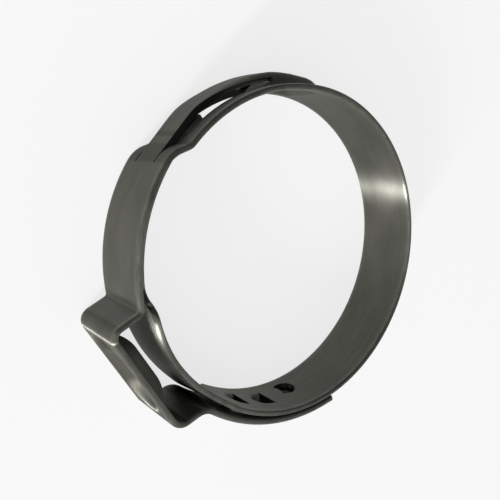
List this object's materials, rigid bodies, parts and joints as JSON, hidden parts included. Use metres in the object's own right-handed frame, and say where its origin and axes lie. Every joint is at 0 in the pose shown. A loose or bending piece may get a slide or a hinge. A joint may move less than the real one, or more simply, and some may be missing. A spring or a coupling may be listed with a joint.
{
  "type": "ear hose clamp",
  "caption": "Stepless one-piece ear clamp: a stainless strip closed round a hose, hooked through windows, with a dimpled ear to crimp and a tongue under a slit bridge.",
  "frame": {"origin": "on the axis of the ring, at the middle of the strip's width", "axes": "+Z along the ring's axis; the ear lies towards -X -Y, and the strip runs from the tongue to the free end counter-clockwise round +Z"},
  "size_m": [0.0376, 0.0353, 0.007],
  "materials": {
    "stainless_strip": "satin, as rolled, with rounded edges"
  },
  "bodies": {
    "root": {"clamp_band": "stainless_strip"}
  },
  "joints": []
}
